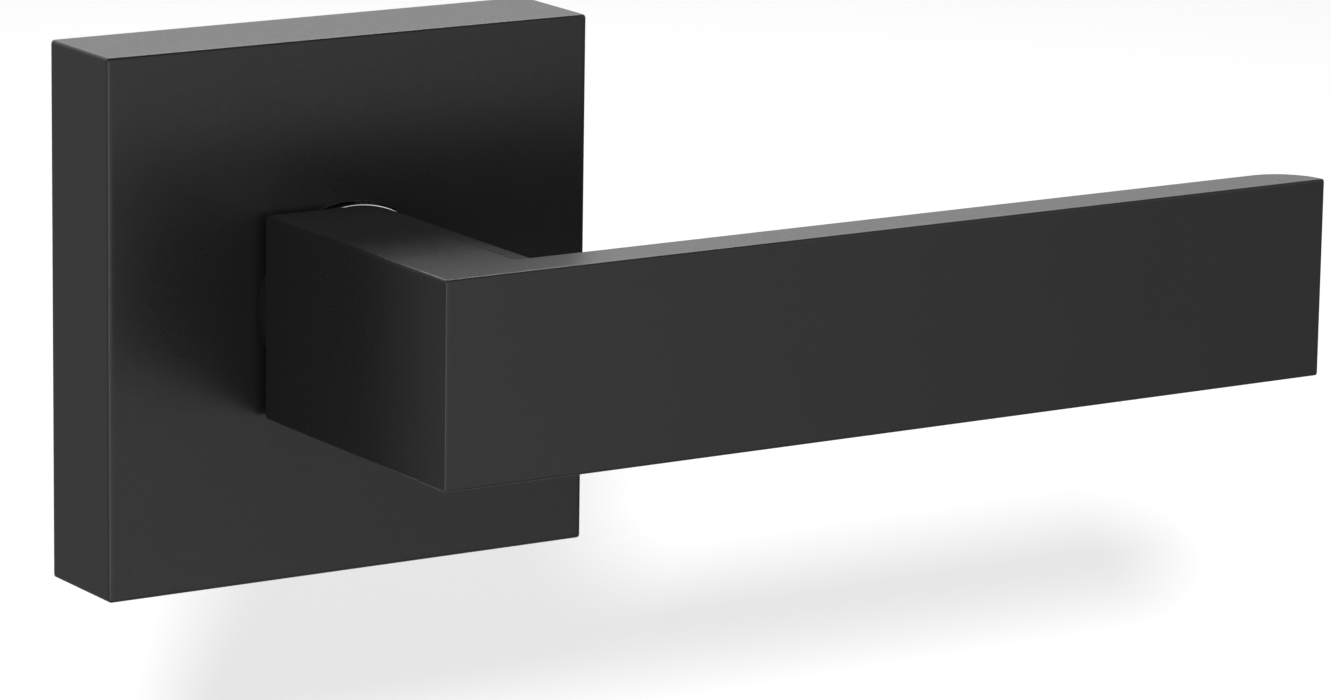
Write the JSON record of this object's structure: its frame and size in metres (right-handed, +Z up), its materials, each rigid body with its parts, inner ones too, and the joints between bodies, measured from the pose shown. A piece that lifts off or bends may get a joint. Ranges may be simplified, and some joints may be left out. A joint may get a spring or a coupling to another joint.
{
  "type": "door lever handle",
  "caption": "Sprung door lever on a square rose: flat bar grip, neck, plated hub collar, cover, base plate, spring mechanism, spindle and through-door screws.",
  "frame": {"origin": "on the spindle axis, in the plane of the door's surface that the rose sits on", "axes": "+Z up, +Y into the door along the spindle, so the lever stands out along -Y, and +X along the grip from the neck to its free end"},
  "size_m": [0.147, 0.102, 0.066],
  "materials": {
    "black_coat": "satin",
    "nickel": "polished",
    "zinc_steel": "satin",
    "dark_steel": "satin",
    "spring_steel": "satin",
    "acetal": "matte"
  },
  "bodies": {
    "rose": {"rose_cover": "black_coat", "cover_grub_screw": "dark_steel", "mounting_plate": "zinc_steel", "spring_housing": "zinc_steel", "bearing_bush": "acetal", "stop_pin_upper": "spring_steel", "stop_pin_lower": "spring_steel", "return_spring": "spring_steel", "housing_screw_1": "zinc_steel", "housing_screw_2": "zinc_steel", "housing_screw_3": "zinc_steel", "housing_screw_4": "zinc_steel", "fixing_screw_upper": "zinc_steel", "fixing_screw_lower": "zinc_steel", "locating_lug_upper": "zinc_steel", "locating_lug_lower": "zinc_steel"},
    "lever": {"lever_handle": "black_coat", "lever_grub_screw": "dark_steel", "drive_hub": "nickel", "spindle": "zinc_steel", "cam_driver": "dark_steel", "thrust_washer": "spring_steel", "wave_washer": "spring_steel", "circlip": "spring_steel"}
  },
  "joints": [
    {"name": "lever_turn", "type": "hinge", "parent": "rose", "child": "lever", "pos_m": [0, 0, 0], "axis": [0, 1, 0], "range_deg": [-45, 45], "stiffness_Nm_per_rad": 1.5, "springref_deg": -2.94, "deforming": ["return_spring"]}
  ]
}
